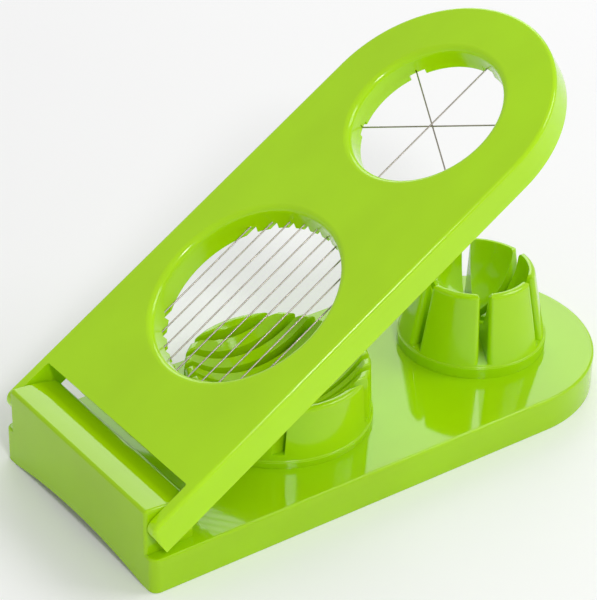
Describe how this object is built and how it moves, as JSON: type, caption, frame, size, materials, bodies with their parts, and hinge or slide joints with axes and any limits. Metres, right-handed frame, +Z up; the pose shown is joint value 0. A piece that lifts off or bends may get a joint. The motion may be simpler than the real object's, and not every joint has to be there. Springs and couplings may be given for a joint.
{
  "type": "egg slicer",
  "caption": "Hand egg slicer: a tray with two slotted egg cups and a hinged lid whose two windows are strung with steel wires, parallel for slices and crossed for wedges.",
  "frame": {"origin": "on the table under the middle of the tray", "axes": "+X from the hinge to the round front end, +Y to the left side, +Z up"},
  "size_m": [0.204, 0.09, 0.1321],
  "materials": {
    "green_plastic": "glossy moulded",
    "steel_wire": "drawn stainless wire",
    "zinc_steel": "bright zinc plated"
  },
  "bodies": {
    "tray": {"base_tray": "green_plastic", "slicing_cup": "green_plastic", "wedging_cup": "green_plastic", "slicing_cup_screws": "zinc_steel", "wedging_cup_screws": "zinc_steel", "hinge_pin_left": "zinc_steel", "hinge_pin_right": "zinc_steel"},
    "lid": {"lid_frame": "green_plastic", "slicing_wire_ring": "green_plastic", "wedging_wire_ring": "green_plastic", "slicing_ring_screws": "zinc_steel", "wedging_ring_screws": "zinc_steel", "slicing_wire_01": "steel_wire", "slicing_wire_02": "steel_wire", "slicing_wire_03": "steel_wire", "slicing_wire_04": "steel_wire", "slicing_wire_05": "steel_wire", "slicing_wire_06": "steel_wire", "slicing_wire_07": "steel_wire", "slicing_wire_08": "steel_wire", "slicing_wire_09": "steel_wire", "slicing_wire_10": "steel_wire", "wedging_wire_1": "steel_wire", "wedging_wire_2": "steel_wire", "wedging_wire_3": "steel_wire"}
  },
  "joints": [
    {"name": "lid_hinge", "type": "hinge", "parent": "tray", "child": "lid", "pos_m": [-0.097, 0, 0.0213], "axis": [0, -1, 0], "range_deg": [-32.1, 67.9]}
  ]
}
